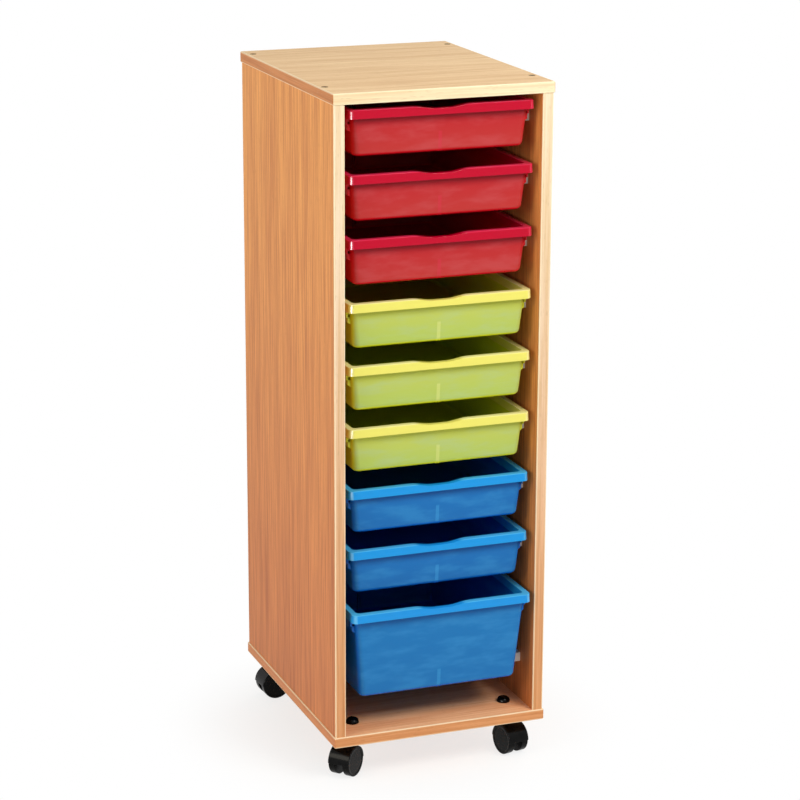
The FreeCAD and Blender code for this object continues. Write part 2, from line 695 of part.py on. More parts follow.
def divider_slots(body, name, height, foot_inset):
    """Two upright ribs in the middle of the front and rear walls, which hold a divider."""
    foot = "(tray_depth / 2 - (%s) - tray_wall / 2)" % foot_inset
    head = "(%s + slot_height * tan(wall_draft * 1 deg))" % foot
    tip = "(%s - tray_wall / 2 - slot_reach)" % foot
    low = "tray_wall / 2 - %s" % height
    high = "%s + slot_height" % low
    for number, lift in enumerate(("-slot_width / 2", "slot_width / 2 - slot_rib")):
        ribs = sketch_on(body, "YZ_Plane", "%s_rib_outline_%d" % (name, number), lift)
        for side in (-1, 1):
            polygon(ribs, [("%d * %s" % (side, foot), low), ("%d * %s" % (side, head), high),
                           ("%d * %s" % (side, tip), high), ("%d * %s" % (side, tip), low)])
        pad(body, ribs, "%s_ribs_%d" % (name, number), "slot_rib")


def all_trays():
    """Eight shallow trays from the top down, then the deep one."""
    shallow = tray("shallow_tray", "shallow_height")
    deep = tray("deep_tray_body", "deep_height")
    for level in range(int(size("level_count")) - 1):
        node("shallow_tray_%d" % (level + 1), [shallow],
             y_text="carcass_y + tray_rest_y", z_text="first_rim - level_pitch * %d" % level)
    node("deep_tray", [deep], y_text="carcass_y + deep_rest_y",
         z_text="first_rim - level_pitch * (level_count - 1)")


# ---------------------------------------------------------------- castors
def castor_hood():
    """
    Castor housing, with the axle along y through the origin and the swivel pin at x = -trail.
    A half-round hood covers the wheels, and a web between them holds the axle and the pin.
    """
    body = new_body("castor_hood")
    half_width = "wheel_outer"
    cover = sketch_on(body, "XZ_Plane", "hood_outline")
    radius = size("hood_radius")
    ring = Part.Circle(Vector(0, 0, 0), Vector(0, 0, 1), radius)
    arc = cover.addGeometry(Part.ArcOfCircle(ring, 0, math.pi))
    line = cover.addGeometry(Part.LineSegment(Vector(-radius, 0, 0), Vector(radius, 0, 0)))
    cover.addConstraint(Sketcher.Constraint("Coincident", arc, 2, line, 1))
    cover.addConstraint(Sketcher.Constraint("Coincident", line, 2, arc, 1))
    cover.addConstraint(Sketcher.Constraint("Coincident", arc, 3, -1, 1))
    cover.addConstraint(Sketcher.Constraint("PointOnObject", arc, 1, -1))
    cover.addConstraint(Sketcher.Constraint("PointOnObject", arc, 2, -1))
    index = cover.addConstraint(Sketcher.Constraint("Radius", arc, radius))
    drive(cover, "Constraints[%d]" % index, "hood_radius")
    pad(body, cover, "hood_block", "2 * %s" % half_width, both_ways=True)
    column = sketch_on(body, "XY_Plane", "column_outline")
    circle(column, "-castor_trail", "0", "column_radius")
    pad(body, column, "swivel_column", "column_top")
    boss = sketch_on(body, "XZ_Plane", "boss_outline")
    circle(boss, "0", "0", "axle_boss")
    pad(body, boss, "axle_boss_pad", "web_width", both_ways=True)
    for side, lift in ((1, "web_width / 2"), (-1, "-web_width / 2")):
        well = sketch_on(body, "XZ_Plane", "well_outline_%d" % (side + 1), lift)
        circle(well, "0", "0", "well_radius")
        pocket(body, well, "wheel_well_%d" % (side + 1), "wheel_width + web_width", backwards=side > 0)
    bore = sketch_on(body, "XZ_Plane", "axle_bore_outline")
    circle(bore, "0", "0", "axle_radius + seat_play")
    pocket(body, bore, "axle_bore", "2 * web_width", both_ways=True)
    socket = sketch_on(body, "XY_Plane", "pin_socket_outline", "column_top")
    circle(socket, "-castor_trail", "0", "pin_radius + running_play")
    pocket(body, socket, "pin_socket", "pin_depth + swivel_gap")
    rim_height = size("hood_radius")
    face = size("wheel_outer")

    def on_hood_rim(point):
        return abs(point.z - rim_height) < 0.01 and abs(abs(point.y) - face) < 0.01

    round_edges(body, "hood_rim", on_hood_rim, "hood_edge")
    return body


def castor_stem():
    """Steel stem: a swivel pin in the housing, a flange under the base and a shank through it."""
    body = turned("castor_stem", [
        ("0", "column_top + swivel_gap - pin_depth"),
        ("pin_radius - pin_chamfer", "column_top + swivel_gap - pin_depth"),
        ("pin_radius", "column_top + swivel_gap - pin_depth + pin_chamfer"),
        ("pin_radius", "column_top + swivel_gap"),
        ("flange_radius", "column_top + swivel_gap"),
        ("flange_radius", "castor_height - wheel_radius"),
        ("shank_radius", "castor_height - wheel_radius"),
        ("shank_radius", "castor_height - wheel_radius + board + shank_grip"),
        ("0", "castor_height - wheel_radius + board + shank_grip")])
    drive(body, "Placement.Base.x", "-castor_trail")
    return body


def castor_axle():
    body = new_body("castor_axle")
    outline = sketch_on(body, "XZ_Plane", "axle_outline")
    circle(outline, "0", "0", "axle_radius")
    pad(body, outline, "axle_pin", "2 * (wheel_outer - wheel_skin - end_play)", both_ways=True)
    return body


def castor_wheel(name, side):
    """One wheel of a pair: rounded tread, dished outer face and a blind bore for the axle."""
    body = new_body(name)

    def out(distance):
        return "%d * (%s)" % (side, distance)

    outline = sketch_on(body, "YZ_Plane", name + "_outline")
    polygon(outline, [
        (out("wheel_inner"), "axle_radius + running_play"),
        (out("wheel_inner"), "wheel_radius"),
        (out("wheel_outer"), "wheel_radius"),
        (out("wheel_outer"), "wheel_radius - dish_border"),
        (out("wheel_outer - wheel_dish"), "wheel_radius - dish_border - dish_slope"),
        (out("wheel_outer - wheel_dish"), "0"),
        (out("wheel_outer - wheel_skin"), "0"),
        (out("wheel_outer - wheel_skin"), "axle_radius + running_play")])
    revolve(body, outline, name + "_turned", "H_Axis")
    tread = size("wheel_radius")

    def on_tread_edge(point):
        at_face = min(abs(abs(point.y) - size("wheel_inner")), abs(abs(point.y) - size("wheel_outer")))
        return at_face < 0.01 and abs(math.hypot(point.x, point.z) - tread) < 0.01

    round_edges(body, name + "_tread", on_tread_edge, "wheel_edge")
    return body


def castor_cap():
    """Domed nut on the base board, closed over the end of the castor's shank."""
    body = new_body("castor_cap")
    outline = sketch_on(body, "XZ_Plane", "cap_outline")
    polygon(outline, [
        ("shank_radius + hole_play", "0"), ("cap_radius", "0"), ("cap_radius", "cap_height"),
        ("0", "cap_height"), ("0", "shank_grip + end_play"),
        ("shank_radius + hole_play", "shank_grip + end_play")])
    revolve(body, outline, "cap_turned", "V_Axis")
    top = size("cap_height")

    def on_cap_rim(point):
        return abs(point.z - top) < 0.01 and math.hypot(point.x, point.y) > 0.01

    round_edges(body, "cap_dome_round", on_cap_rim, "cap_dome")
    return body


CORNERS = [("front_left", -1, -1), ("front_right", 1, -1), ("rear_left", -1, 1), ("rear_right", 1, 1)]


def all_castors():
    """Four castors, each turned about its swivel pin, and the domed nuts above them."""
    hood = castor_hood()
    stem = castor_stem()
    axle = castor_axle()
    wheels = {"left": castor_wheel("castor_wheel_left", 1), "right": castor_wheel("castor_wheel_right", -1)}
    caps = []
    for corner, x_side, y_side in CORNERS:
        angle = "swivel_" + corner
        place = {
            "x_text": "%d * castor_axis_x + castor_trail * cos(%s * 1 deg)" % (x_side, angle),
            "y_text": "carcass_y + %d * castor_axis_y + castor_trail * sin(%s * 1 deg)" % (y_side, angle),
            "z_text": "wheel_radius",
            "turn": angle}
        node("castor_hood_" + corner, [hood], **place)
        node("castor_stem_" + corner, [stem], **place)
        node("castor_axle_" + corner, [axle], **place)
        for side, wheel in wheels.items():
            node("castor_wheel_%s_%s" % (side, corner), [wheel], **place)
        spot = Vector(x_side * size("castor_axis_x"), y_side * size("castor_axis_y"), size("inside_bottom"))
        caps.append(Placement(spot, Rotation()))
    copies("castor_caps", castor_cap(), caps)


# ---------------------------------------------------------------- the unit
def carcass():
    base = flat_board("base_board", -1)
    castor_holes(base)
    node("top_panel", [flat_board("top_board", 1)], y_text="carcass_y", z_text="inside_top")
    node("top_edging", [edge_frame("top_frame")], y_text="carcass_y", z_text="inside_top")
    node("base_panel", [base], y_text="carcass_y", z_text="inside_bottom")
    node("base_edging", [edge_frame("base_frame")], y_text="carcass_y", z_text="castor_height")
    front = edge_strip("front_strip", -1)
    rear = edge_strip("rear_strip", 1)
    for hand, outward in (("left", -1), ("right", 1)):
        node("side_panel_" + hand, [side_board(hand + "_board", outward)],
             x_text="%d * side_inner" % outward, y_text="carcass_y", z_text="inside_bottom")
        node("side_edging_" + hand, [front, rear],
             x_text="%d * side_middle" % outward, y_text="carcass_y", z_text="inside_bottom")
    node("back_panel", [back_sheet()], y_text="carcass_y", z_text="inside_bottom")


def write_parts():
    """Checks every object and every sub-part, and then writes the STEP files."""
    doc.recompute()
    for thing in doc.Objects:
        if "Invalid" in thing.State or "Error" in thing.State:
            raise RuntimeError("%s failed to build" % thing.Label)
    for part in NODES:
        if part.Shape.isNull() or not part.Shape.isValid() or not part.Shape.Solids:
            raise RuntimeError("%s has no valid shape" % part.Label)
    os.makedirs("parts", exist_ok=True)
    for part in NODES:
        part.Shape.exportStep("parts/%s.step" % part.Label)
    print("%d sub-parts written" % len(NODES))


carcass()
carcass_fasteners()
all_runners()
all_trays()
all_castors()
write_parts()
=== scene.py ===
# %% [markdown]
# # A classroom tray storage unit
#
# The real thing is a tall, narrow cabinet of beech-faced board on four twin-wheel castors. Plastic
# runners on its two sides carry eight shallow trays and one deep tray, moulded in tinted polypropylene
# that lets a little light through. The engineering model is loaded first as a fixed frame. It already
# holds every board, screw and runner at its true size, so this lesson adds finishes to those, and
# models again only the pieces whose soft moulded forms need more care: the trays, the castor hoods and
# the wheels.

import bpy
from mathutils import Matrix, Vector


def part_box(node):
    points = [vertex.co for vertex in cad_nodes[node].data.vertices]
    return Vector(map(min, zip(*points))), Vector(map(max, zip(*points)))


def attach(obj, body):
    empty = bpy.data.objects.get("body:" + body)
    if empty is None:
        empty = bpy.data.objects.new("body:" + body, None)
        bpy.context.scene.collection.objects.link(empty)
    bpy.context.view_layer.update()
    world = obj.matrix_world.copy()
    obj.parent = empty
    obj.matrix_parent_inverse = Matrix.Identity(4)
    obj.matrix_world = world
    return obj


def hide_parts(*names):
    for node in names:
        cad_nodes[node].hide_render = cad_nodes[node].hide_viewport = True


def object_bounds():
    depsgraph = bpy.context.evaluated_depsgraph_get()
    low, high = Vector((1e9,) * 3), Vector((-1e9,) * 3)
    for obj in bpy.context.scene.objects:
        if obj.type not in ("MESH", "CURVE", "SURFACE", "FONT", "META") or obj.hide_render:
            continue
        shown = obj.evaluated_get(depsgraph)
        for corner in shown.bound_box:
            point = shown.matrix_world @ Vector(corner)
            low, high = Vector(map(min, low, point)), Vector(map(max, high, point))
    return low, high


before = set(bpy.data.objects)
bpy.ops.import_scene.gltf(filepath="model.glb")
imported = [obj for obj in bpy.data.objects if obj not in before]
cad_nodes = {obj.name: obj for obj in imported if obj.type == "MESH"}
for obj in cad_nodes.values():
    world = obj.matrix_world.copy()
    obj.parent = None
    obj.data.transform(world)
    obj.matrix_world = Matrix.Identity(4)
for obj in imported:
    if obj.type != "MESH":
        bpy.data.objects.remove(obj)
cad_low, cad_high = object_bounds()
print("pieces in the frame:", len(cad_nodes))

# %% [markdown]
# ## Sizes
#
# Everything is in metres, because that is Blender's unit, but a maker of furniture thinks in
# millimetres. One short helper does the conversion, so the numbers below read like a workshop drawing.

# %% A millimetre helper
import math

import bmesh
import bpy
from mathutils import Matrix, Vector


def mm(*lengths):
    """Millimetres to metres, for one length or several."""
    metres = tuple(length / 1000 for length in lengths)
    return metres if len(metres) > 1 else metres[0]


cad_size = cad_high - cad_low
print("overall size in mm:", [round(length * 1000, 1) for length in cad_size])

# %% [markdown]
# ## The camera
#
# A product picture of a tall cabinet is taken from a few metres away with a long lens, so that the
# sides stay nearly parallel. Here the camera stands in front and to the left, above the top board, and
# looks down a little. The lens length comes from the field of view: the focal length is known in dots
# of a picture 800 dots wide, and the sensor is 36 mm wide.

# %% Place the camera
CAMERA_SPOT = mm(-1520.7, -4055.9, 1799.7)
CAMERA_YAW, CAMERA_PITCH, CAMERA_ROLL = 0.3616, 0.2753, 0.0035
FOCAL_DOTS, PICTURE_DOTS, SENSOR_WIDTH = 2685.4, 800, 36
camera_data = bpy.data.cameras.new("studio_camera")
camera_data.sensor_width = SENSOR_WIDTH
camera_data.lens = FOCAL_DOTS * SENSOR_WIDTH / PICTURE_DOTS
camera = bpy.data.objects.new("studio_camera", camera_data)
bpy.context.scene.collection.objects.link(camera)
turn_down = Matrix.Rotation(math.pi / 2 - CAMERA_PITCH, 4, "X")
turn_aside = Matrix.Rotation(-CAMERA_YAW, 4, "Z")
lean = Matrix.Rotation(CAMERA_ROLL, 4, "Z")
camera.matrix_world = Matrix.Translation(CAMERA_SPOT) @ turn_aside @ turn_down @ lean
bpy.context.scene.camera = camera
bpy.context.scene.view_settings.view_transform = "Standard"
print("lens in mm:", round(camera_data.lens, 1))

# %% [markdown]
# ## Soft studio light
#
# Area lamps are softboxes: the larger the panel, the softer the edge of a shadow. The key light hangs
# high in front on the right, so the front edges are bright and the left side is a tone darker. A warmer
# lamp lights the left side, and a weak one keeps the back from going dark. The last panel is a
# reflector: it gives no light to dull surfaces, and is there only to be mirrored by the glossy corners
# of the trays. It stands low, so that the top board doesn't mirror it too.


# %% Lamps
AIM = Vector((0, 0, 0.65))


def softbox(name, spot, size, watts, tint):
    """An area lamp of this width and height that faces the middle of the cabinet."""
    lamp_data = bpy.data.lights.new(name, "AREA")
    lamp_data.shape = "RECTANGLE"
    lamp_data.size, lamp_data.size_y = size
    lamp_data.energy = watts
    lamp_data.color = tint
    lamp = bpy.data.objects.new(name, lamp_data)
    bpy.context.scene.collection.objects.link(lamp)
    turn = (AIM - Vector(spot)).to_track_quat("-Z", "Y")
    lamp.matrix_world = Matrix.Translation(spot) @ turn.to_matrix().to_4x4()
    return lamp


softbox("key_softbox", (1.2, -2.3, 2.8), (1.4, 1.4), 76, (1.0, 0.98, 0.94))
softbox("side_softbox", (-3.0, -0.9, 1.8), (1.6, 1.6), 44, (1.0, 0.93, 0.78))
softbox("rear_softbox", (2.7, 2.5, 1.7), (1.6, 1.6), 34, (1.0, 0.96, 0.9))
strip = softbox("strip_reflector", (-2.75, -2.7, 0.55), (1.6, 1.0), 130, (1.0, 0.99, 0.97))
strip.visible_diffuse = False
print("lamps:", len(bpy.data.lights))

# %% [markdown]
# ## One helper for nodes
#
# Every finish below is a small network of shader nodes. A single helper adds a node, sets it up and
# feeds its inputs, so that each material reads as a list of steps. Hex colours are how a colour is
# written on a screen; the renderer needs linear light, so one function converts them.


# %% Node and colour helpers
def colour(hex_code):
    """A hex colour as linear red, green, blue and alpha."""
    channels = []
    for start in (1, 3, 5):
        value = int(hex_code[start:start + 2], 16) / 255
        channels.append(value / 12.92 if value <= 0.04045 else ((value + 0.055) / 1.055) ** 2.4)
    return (*channels, 1.0)


def feed(node, inputs):
    """Gives a node's inputs, named or numbered, another node's output, a number or a hex colour."""
    for key, source in inputs.items():
        if isinstance(source, bpy.types.NodeSocket):
            node.id_data.links.new(source, node.inputs[key])
        else:
            node.inputs[key].default_value = colour(source) if isinstance(source, str) else source


def add_node(tree, kind, inputs=None, output=0, **settings):
    """Adds a node, sets it up, feeds its inputs and hands back one of its outputs."""
    node = tree.nodes.new("ShaderNode" + kind)
    for key, setting in settings.items():
        setattr(node, key, setting)
    feed(node, inputs or {})
    return node.outputs[output]


def new_material(name):
    """A node material: itself, its tree and its surface shader."""
    material = bpy.data.materials.new(name)
    material.use_nodes = True
    tree = material.node_tree
    return material, tree, tree.nodes["Principled BSDF"]


print("example: beech", [round(channel, 3) for channel in colour("#E8CDA5")])

# %% [markdown]
# Two small groups of nodes come back in most finishes. The first passes softly from one colour to
# another while some measure grows, such as the height above the floor. The second marks a band of that
# measure. Both ease in and out, because a hard line on a moulded or printed surface looks wrong.

# %% Groups of nodes
SMOOTH = {"interpolation_type": "SMOOTHSTEP"}
IN_COLOUR = {"output": 2, "data_type": "RGBA"}


def blend(tree, measure, low, high, first, second, most=1.0):
    """Passes from the first colour to the second, at most this far, as a measure grows."""
    share = add_node(tree, "MapRange", {0: measure, 1: low, 2: high, 4: most}, **SMOOTH)
    return add_node(tree, "Mix", {0: share, 6: first, 7: second}, **IN_COLOUR)


def band(tree, measure, rise, fall):
    """1 between the rise and the fall of a measure, each a pair of values, and 0 outside them."""
    risen, fallen = (add_node(tree, "MapRange", {0: measure, 1: low, 2: high}, **SMOOTH)
                     for low, high in (rise, fall))
    return add_node(tree, "Math", {0: risen, 1: fallen}, operation="SUBTRACT")


print("groups ready:", blend.__name__, band.__name__)

# %% [markdown]
# ## Background and floor
#
# The room is a plain white cove. The world's light on the object is held to a plain level, and only
# rays that come straight from the camera, or by way of something glossy or clear, see it as white.

# %% World
world = bpy.data.worlds.new("white_cove")
bpy.context.scene.world = world
world.use_nodes = True
WORLD_LEVEL = 0.42


def seen_directly(tree):
    """1 for camera, glossy and transmission rays, and 0 for the rest."""
    seen = 0.0
    for kind in ("Is Camera Ray", "Is Glossy Ray", "Is Transmission Ray"):
        ray = add_node(tree, "LightPath", output=kind)
        seen = add_node(tree, "Math", {0: ray, 1: seen}, operation="MAXIMUM")
    return seen


cove = world.node_tree
lit = cove.nodes["Background"]
feed(lit, {"Color": "#FFFFFF", "Strength": WORLD_LEVEL})
white = add_node(cove, "Background", {"Color": "#FFFFFF", "Strength": 1.0})
either = add_node(cove, "MixShader", {0: seen_directly(cove), 1: lit.outputs[0], 2: white})
feed(cove.nodes["World Output"], {"Surface": either})
print("world level on the object:", WORLD_LEVEL)

# %% [markdown]
# The floor is pale board that keeps the soft shadow near the castors. It already glows a little there,
# and fades to the white of the cove further out, so that no horizon shows.

# %% Floor
bpy.ops.object.select_all(action="DESELECT")
bpy.ops.mesh.primitive_plane_add(size=60, location=(0, 0, 0))
floor = bpy.context.object
floor.name = "studio_floor"
floor_paint, tree, shader = new_material("matt_white_floor_paint")
feed(shader, {"Base Color": "#F6F5F2", "Roughness": 0.9, "Specular IOR Level": 0.0})
spot = add_node(tree, "TexCoord", output="Object")
reach = add_node(tree, "VectorMath", {0: spot}, "Value", operation="LENGTH")
share = add_node(tree, "MapRange", {0: reach, 1: 0.16, 2: 0.42, 3: 0.72}, **SMOOTH)
share = add_node(tree, "Math", {0: share, 1: seen_directly(tree)}, operation="MULTIPLY")
glow = add_node(tree, "Emission", {"Color": "#FFFFFF", "Strength": 1.0})
either = add_node(tree, "MixShader", {0: share, 1: shader.outputs[0], 2: glow})
feed(tree.nodes["Material Output"], {"Surface": either})
floor.data.materials.append(floor_paint)
print("floor added:", floor.name)

# %% [markdown]
# ## Beech-faced board
#
# The boards are chipboard with a printed and sealed beech face. Beech has long fine streaks along the
# grain and many short darker flecks. Each pattern is a noise texture that is stretched along the grain:
# the streaks are 3.2 mm wide and 150 mm long, on broad bands of 26 mm, and the flecks are drawn 1.6 mm
# wide and 14 mm long, which is coarser than the real 0.3 mm ones, because those would be too fine to
# show. The sealed face has a satin gloss, and the pores give it a very light bump.


# %% Stretched noise
def stretched_noise(tree, place, cell_sizes, detail):
    """Noise whose cells have these sizes in millimetres along x, y and z."""
    scale = tuple(1 / mm(cell) for cell in cell_sizes)
    scaled = add_node(tree, "Mapping", {"Vector": place, "Scale": scale})
    return add_node(tree, "TexNoise", {"Vector": scaled, "Scale": 1.0, "Detail": detail,
                                       "Roughness": 0.55}, "Fac")


print("example: cells of 4 mm, scale", 1 / mm(4))

# %% [markdown]
# One function makes every beech surface of the unit, because the boards and their bands share one print.
# What differs from board to board is given to it: the direction of the grain, the tones, painted shade
# towards the floor, painted shade on the two side faces of a band, a pale painted highlight along a
# band's rounded corner, and the bare chipboard inside drilled holes, painted near black as their shade.

# %% Beech
STREAKS = (3.2, 150, 3, 0.34, 0.68)
BROAD_BANDS = (26, 700, 2, 0.35, 0.65)
FLECKS = (1.6, 14, 1, 0.60, 0.72)
FOOT_SHADE_RISE, FLANK_EDGE, ARRIS_HIGHLIGHT_REACH = mm(40, 1150), mm(183.6, 184.4), mm(1, 2.4)


def beech_face(name, grain_axes, pale, deep, low=None, shaded_flanks=None, corners=None, core=None):
    """Printed beech with its grain along the named axes, between a pale and a deep colour.

    The pair of colours in low is painted shade towards the foot of the unit, and the pair for the flanks
    is painted shade on the two sides of a band. The corners are an axis and two places on it, in
    millimetres, where a band has a painted highlight along its rounded corner. The core is the pair of
    heights between which the chipboard shows in the drilled holes, painted near black as the shade in
    them.
    """
    material, tree, shader = new_material(name)
    place = add_node(tree, "TexCoord", output="Object")
    axes = {axis: add_node(tree, "SeparateXYZ", {0: place}, axis) for axis in "XYZ"}
    patterns = []
    for across, along, detail, faint, full in (STREAKS, BROAD_BANDS, FLECKS):
        cells = [along if axis in grain_axes else across for axis in "XYZ"]
        noise = stretched_noise(tree, place, cells, detail)
        patterns.append(add_node(tree, "MapRange", {0: noise, 1: faint, 2: full}, **SMOOTH))
    streak, broad, fleck = patterns
    broad = add_node(tree, "Math", {0: broad, 1: 0.3}, operation="MULTIPLY")
    tone = add_node(tree, "Math", {0: streak, 1: 0.7, 2: broad}, operation="MULTIPLY_ADD")
    face = add_node(tree, "Mix", {0: tone, 6: pale, 7: deep}, **IN_COLOUR)
    # Painted shade: a darker tone towards the floor.
    if low:
        shaded_foot_face = add_node(tree, "Mix", {0: tone, 6: low[0], 7: low[1]}, **IN_COLOUR)
        face = blend(tree, axes["Z"], *FOOT_SHADE_RISE, shaded_foot_face, face)
    # Painted shade: a deeper tone on the two sides of a band.
    if shaded_flanks:
        shaded_flank_face = add_node(tree, "Mix", {0: tone, 6: shaded_flanks[0], 7: shaded_flanks[1]}, **IN_COLOUR)
        outward = add_node(tree, "Math", {0: axes["X"]}, operation="ABSOLUTE")
        face = blend(tree, outward, *FLANK_EDGE, face, shaded_flank_face)
    fleck_tone = add_node(tree, "Mix", {0: 0.5, 6: deep, 7: "#8A5A32"}, **IN_COLOUR)
    flecked = add_node(tree, "Mix", {0: 0.32, 6: face, 7: fleck_tone}, **IN_COLOUR)
    face = add_node(tree, "Mix", {0: fleck, 6: face, 7: flecked}, **IN_COLOUR)
    if corners:
        # The distance to the nearer of the two places, on either side of the unit.
        axis, near, far = corners
        away = axes[axis]
        for operation, number in (("ABSOLUTE", 0), ("SUBTRACT", mm(near + far) / 2), ("ABSOLUTE", 0),
                                  ("SUBTRACT", mm(far - near) / 2), ("ABSOLUTE", 0)):
            away = add_node(tree, "Math", {0: away, 1: number}, operation=operation)
        # Painted highlight: a pale line along a band's rounded corner.
        arris_highlight = add_node(tree, "Mix", {0: 0.62, 6: face, 7: "#FFF0CC"}, **IN_COLOUR)
        face = blend(tree, away, *ARRIS_HIGHLIGHT_REACH, arris_highlight, face)
    # Painted shade: the bare chipboard in the holes is painted near black, darker than chipboard.
    if core:
        foot, head = core
        inside = band(tree, axes["Z"], mm(foot, foot + 0.1), mm(head - 0.1, head))
        face = add_node(tree, "Mix", {0: inside, 6: face, 7: "#2E2118"}, **IN_COLOUR)
    bump = add_node(tree, "Bump", {"Height": fleck, "Strength": 0.06, "Distance": mm(0.2)})
    feed(shader, {"Base Color": face, "Roughness": 0.45, "Specular IOR Level": 0.12, "Normal": bump})
    return material


# Printed beech foil on chipboard. The sides are honey, with painted shade that turns them red brown
# towards the floor.
beech_side = beech_face("beech_foil_side_board", "Z", "#F0A95E", "#C67C42", low=("#D8864C", "#AC6034"))
# The top is the palest board, with bare chipboard in the sunk holes of its screws, painted near black as
# the shade in them.
beech_top = beech_face("beech_foil_top_board", "X", "#F0CE9C", "#D6AA74", core=(1120.3, 1137.8))
# Painted light: the base lies in shade, so its print is painted paler and warmer, standing in for the
# light and the warm bounce from the boards around it.
beech_base = beech_face("beech_foil_base_board", "X", "#FFC494", "#E89C6A")
# The thin back is a paler, cheaper print.
beech_back = beech_face("beech_foil_back_board", "Z", "#E2B684", "#D3A16E")
print("beech faces made")

# %% [markdown]
# ## Beech edging
#
# The cut edges of the boards are closed with a 2 mm plastic band in the same beech print, glued on,
# rounded off with a cutter and scraped. A fine pale line along the rounded corner is a painted
# highlight along its whole length. The upright bands carry the grain upwards, and those of the top
# and base carry it round the board. Their two sides, away from the light, are painted a deeper tone as
# shade.

# %% Edge bands
# Extruded ABS band. The upright ones are cream, with painted shade that turns them tan towards the foot.
band_upright = beech_face("beech_abs_edge_upright", "Z", "#F0E2CA", "#E2C8A0",
                          low=("#DEA272", "#C68452"), corners=("X", 165, 183))
# The top board's band is the palest edge in front, with painted shade that turns it orange brown at the
# sides.
band_top = beech_face("beech_abs_edge_top", "XY", "#EFE0BC", "#E4CAA0",
                      shaded_flanks=("#D69058", "#BA7440"), corners=("Z", 1120, 1138))
# The base board's band is given the deep tone of the painted shade at the foot of the sides, and painted
# shade makes it deeper still at its sides.
band_base = beech_face("beech_abs_edge_base", "XY", "#DC9C6A", "#CA8654",
                       shaded_flanks=("#D88E5A", "#C07848"), corners=("Z", 65, 83))
print("edge bands made")

# %% [markdown]
# ## Small hardware finishes
#
# Zinc-plated steel, blackened screw heads, white moulded runners, black nylon for the castors and raw
# beech dowels. None of these is a flat colour, so one function mixes two close tones in soft patches of
# a real size, lets the gloss wander with them, and can add a fine grain of 0.8 mm, coarser than the
# real one so that it shows.


# %% Metal, nylon and wood
def mottled(name, hex_one, hex_two, cell, roughness, metallic=0.0, bump=0.0, gloss=0.5):
    """Two close tones in patches of a size in millimetres; gloss is how much a dull surface mirrors."""
    material, tree, shader = new_material(name)
    place = add_node(tree, "TexCoord", output="Object")
    patch = stretched_noise(tree, place, (cell, cell, cell), 3)
    rough = add_node(tree, "MapRange", {0: patch, 3: roughness - 0.06, 4: roughness + 0.06})
    feed(shader, {"Base Color": blend(tree, patch, 0.35, 0.65, hex_one, hex_two), "Roughness": rough,
                  "Metallic": metallic, "Specular IOR Level": gloss})
    if bump:
        grain = stretched_noise(tree, place, (0.8, 0.8, 0.8), 2)
        feed(shader, {"Normal": add_node(tree, "Bump", {"Height": grain, "Strength": bump,
                                                        "Distance": mm(0.1)})})
    return material


# Electroplated steel: bright, with a faint cloudiness from the bath.
zinc_plate = mottled("zinc_plated_steel", "#B9BCBE", "#A4A7AA", 3, 0.32, metallic=1.0)
# Steel dipped in a hot blackening bath: nearly black and dull, so screws read as dark dots.
black_oxide = mottled("black_oxide_steel", "#141312", "#0C0B0B", 2, 0.55, gloss=0.1)
# Moulded polystyrene: a warm white with a soft satin sheen.
white_runner = mottled("white_moulded_polystyrene", "#F1F0EA", "#E6E4DC", 12, 0.38, bump=0.05)
# Moulded nylon: deep black, with one long soft light along the hood's curve.
black_nylon = mottled("black_moulded_nylon", "#030303", "#070707", 9, 0.2, bump=0.06, gloss=0.1)
# The wheels' nylon is rubbed by the floor, so it is greyer and duller than the hood.
black_tread = mottled("black_rubbed_tread", "#040404", "#080807", 5, 0.28, bump=0.08, gloss=0.08)
# Turned beech, left raw: matt, with the two tones of its end grain.
raw_dowel = mottled("raw_beech_dowel", "#D9B384", "#C89C6B", 4, 0.7, bump=0.1)
print("hardware finishes made")

# %% [markdown]
# ## Tray plastic
#
# The trays are injection-moulded polypropylene, tinted but not opaque. Light goes into the wall and
# scatters, so the hollow rim looks lighter than the panel. The wall carries painted shade just under the
# lip, and thick or bent places, such as the foot and the upright corners, look more saturated, partly
# from the thicker plastic and partly from a painted glow. A milky haze drifts over the panel, and the
# ribs behind it show as a pale stripe. The material measures how far a point is below its own rim. The
# shallow trays are spaced evenly, so the remainder of a division by the spacing gives that depth for all
# of them with one material. The corners of the lip are polished by the mould, so they catch a light, and
# a paler tone is painted there as a highlight, as it is along the lip's top edge.

# %% Polypropylene
FIRST_RIM, TRAY_PITCH, SHALLOW, DEEP = mm(1109, 102, 75, 150)
DEEP_RIM = FIRST_RIM - 8 * TRAY_PITCH
DRAFT = math.tan(math.radians(4.5))
# Where one tone passes into the next: below the rim, above the foot, and out from the middle.
LIP_TOP, LIP_START, LIP_EDGE, LIP_SHADE = mm(0.8, 2.4), mm(2, 3.5), mm(14.2, 15.4), mm(14, 34)
STRIPE_TOP, FOOT_BEND = mm(34, 31), mm(6, 1)
STRIPE_SIDE, CORNER_BEND, LIP_CORNER = mm(2.4, 3.4), mm(143.5, 148), (mm(147, 149.5), mm(152.5, 154.5))


